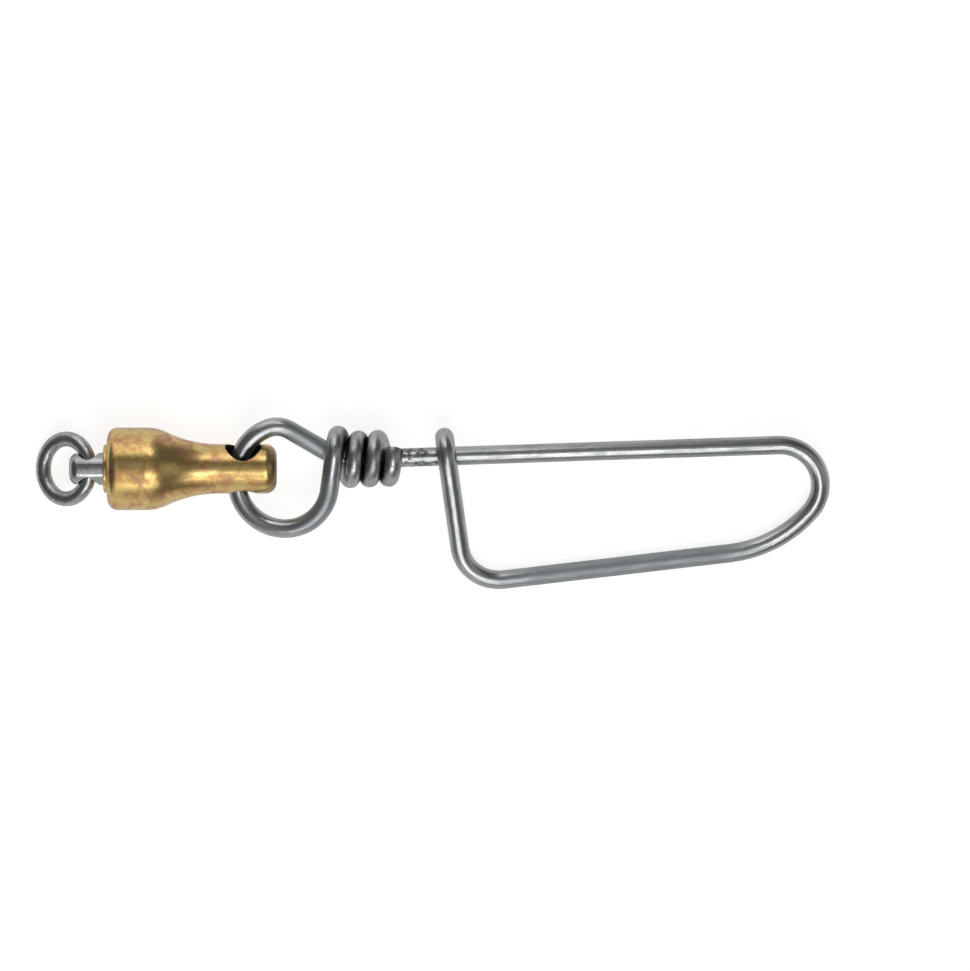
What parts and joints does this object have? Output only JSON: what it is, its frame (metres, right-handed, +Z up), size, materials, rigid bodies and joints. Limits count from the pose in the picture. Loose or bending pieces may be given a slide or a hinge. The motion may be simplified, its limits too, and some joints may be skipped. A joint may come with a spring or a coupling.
{
  "type": "snap swivel",
  "caption": "Ball-bearing fishing swivel lying flat: turned brass barrel, plain line ring on its rotating stem, and a hook-over wire snap in the cross hole of its neck.",
  "frame": {"origin": "on the ground, below the middle of the footprint of the swivel as it lies", "axes": "+X along the barrel from the line ring to the snap, +Z up from the ground, +Y across, towards the shaft side of the snap"},
  "size_m": [0.0638, 0.0138, 0.0066],
  "materials": {
    "snap_wire_steel": "bright drawn stainless spring wire",
    "barrel_brass": "turned, lightly tarnished",
    "cap_brass": "turned",
    "race_steel": "hardened and ground",
    "stem_steel": "turned stainless",
    "ring_steel": "bright drawn stainless wire",
    "ball_steel": "polished bearing steel"
  },
  "bodies": {
    "barrel": {"barrel": "barrel_brass", "end_cap": "cap_brass", "race_washer": "race_steel"},
    "stem": {"stem": "stem_steel"},
    "balls": {"ball_01": "ball_steel", "ball_02": "ball_steel", "ball_03": "ball_steel", "ball_04": "ball_steel", "ball_05": "ball_steel", "ball_06": "ball_steel", "ball_07": "ball_steel", "ball_08": "ball_steel", "ball_09": "ball_steel", "ball_10": "ball_steel", "ball_11": "ball_steel", "ball_12": "ball_steel"},
    "line_ring": {"line_ring": "ring_steel"},
    "snap": {"snap_wire": "snap_wire_steel"}
  },
  "joints": [
    {"name": "stem_spin", "type": "hinge", "parent": "barrel", "child": "stem", "pos_m": [-0.02553, 0.00278, 0.0033], "axis": [1, 0, 0], "continuous": true},
    {"name": "ball_orbit", "type": "hinge", "parent": "barrel", "child": "balls", "pos_m": [-0.02365, 0.00278, 0.0033], "axis": [1, 0, 0], "continuous": true},
    {"name": "line_ring_swing", "type": "hinge", "parent": "stem", "child": "line_ring", "pos_m": [-0.02753, 0.00278, 0.0033], "axis": [0, 1, 0], "range_deg": [-75, 145]},
    {"name": "snap_swing", "type": "hinge", "parent": "barrel", "child": "snap", "pos_m": [-0.01506, 0.00278, 0.0033], "axis": [0, 0.9205, 0.3907], "range_deg": [-120, 120]}
  ],
  "couplings": [
    {"joint": "ball_orbit", "follows": "stem_spin", "ratio": 0.5}
  ]
}
